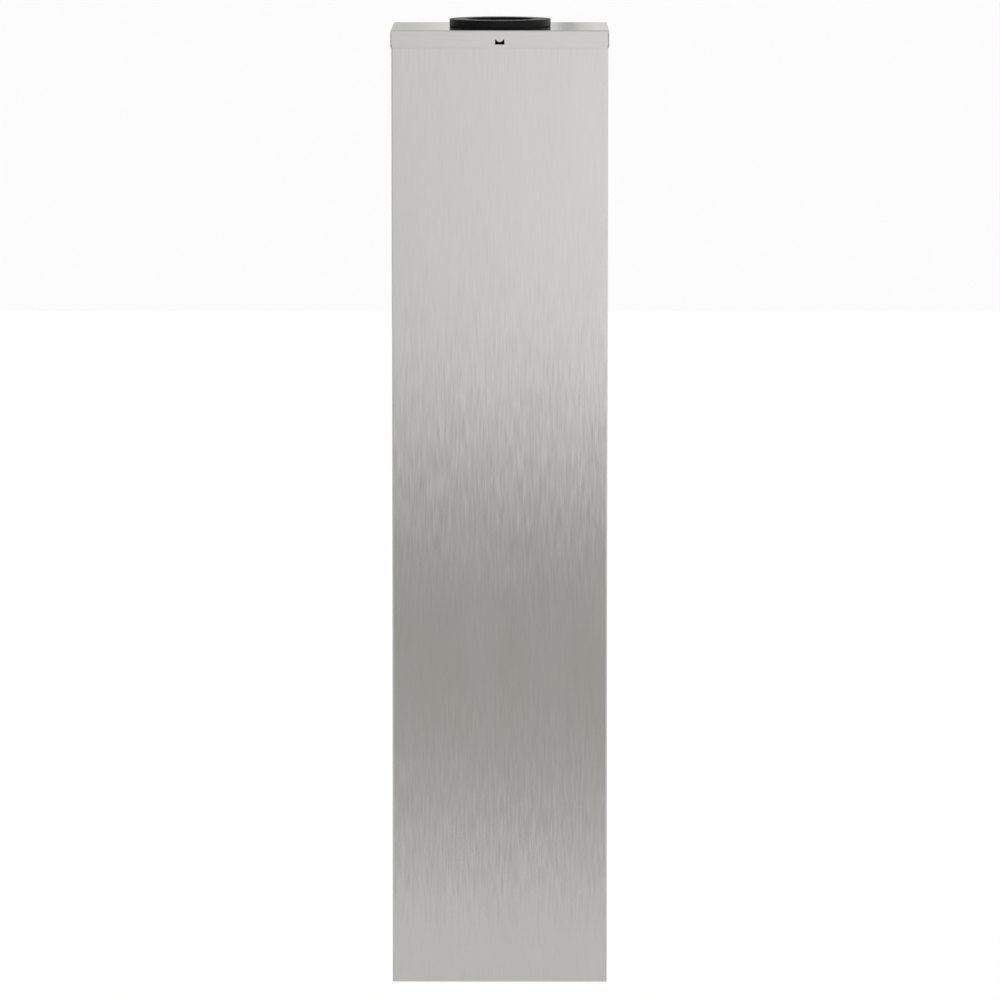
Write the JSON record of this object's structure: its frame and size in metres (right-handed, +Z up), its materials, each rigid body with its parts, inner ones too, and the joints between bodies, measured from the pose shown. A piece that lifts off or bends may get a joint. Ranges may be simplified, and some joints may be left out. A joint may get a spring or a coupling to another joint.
{
  "type": "wall mounted mailbox",
  "caption": "Tall slim wall mounted drop box in brushed stainless steel, with a hinged lid, a round black drop-in collar, a key slot and a lift-out liner.",
  "frame": {"origin": "on the back panel's wall face, on the centre line and half way between the bottom edge and the lid's top face", "axes": "+Z up, +Y into the wall, -Y out of the front face, +X to the right seen from the front"},
  "size_m": [0.2272, 0.2011, 1.0082],
  "materials": {
    "housing_steel": "brushed stainless sheet, vertical grain, satin",
    "lid_steel": "brushed stainless sheet, grain from side to side, satin",
    "fittings_steel": "plain stainless, mill finish",
    "collar_plastic": "black moulded plastic, satin",
    "latch_plastic": "dark grey moulded nylon",
    "liner_plastic": "grey moulded polyethylene, slightly waxy",
    "rubber": "black rubber, matt"
  },
  "bodies": {
    "housing": {"body_shell": "housing_steel", "back_panel": "housing_steel", "base_pan": "housing_steel", "hinge_leaf_body": "fittings_steel", "hinge_pin": "fittings_steel", "hinge_rivet_1": "fittings_steel", "hinge_rivet_2": "fittings_steel", "hinge_rivet_3": "fittings_steel", "hinge_rivet_4": "fittings_steel", "hinge_rivet_5": "fittings_steel", "lid_buffer_1": "rubber", "lid_buffer_2": "rubber", "lid_buffer_3": "rubber", "lid_buffer_4": "rubber"},
    "lid": {"lid_panel": "lid_steel", "hinge_leaf_lid": "fittings_steel", "lid_hinge_nut_1": "fittings_steel", "lid_hinge_nut_2": "fittings_steel", "lid_hinge_nut_3": "fittings_steel", "lid_hinge_nut_4": "fittings_steel", "lid_hinge_nut_5": "fittings_steel", "collar": "collar_plastic", "collar_gasket": "rubber", "collar_nut": "collar_plastic", "latch_bracket": "fittings_steel", "latch_spring": "fittings_steel", "latch_pin": "fittings_steel", "latch_pin_clip": "fittings_steel", "latch_nut_1": "fittings_steel", "latch_nut_2": "fittings_steel"},
    "latch": {"latch_lever": "latch_plastic"},
    "liner": {"liner": "liner_plastic"},
    "handle": {"liner_handle": "fittings_steel", "handle_grip": "latch_plastic"}
  },
  "joints": [
    {"name": "lid_hinge", "type": "hinge", "parent": "housing", "child": "lid", "pos_m": [0, -0.0039, 0.4963], "axis": [-1, 0, 0], "range_deg": [0, 80]},
    {"name": "latch_pivot", "type": "hinge", "parent": "lid", "child": "latch", "pos_m": [0, -0.178, 0.472], "axis": [1, 0, 0], "range_deg": [0, 10], "stiffness_Nm_per_rad": 0.03, "springref_deg": 28.65},
    {"name": "liner_lift", "type": "slide", "parent": "housing", "child": "liner", "axis": [0, 0, 1], "range_m": [0, 0.05]},
    {"name": "handle_pivot", "type": "hinge", "parent": "liner", "child": "handle", "pos_m": [0, -0.097, 0.392], "axis": [-1, 0, 0], "range_deg": [0, 161]}
  ]
}
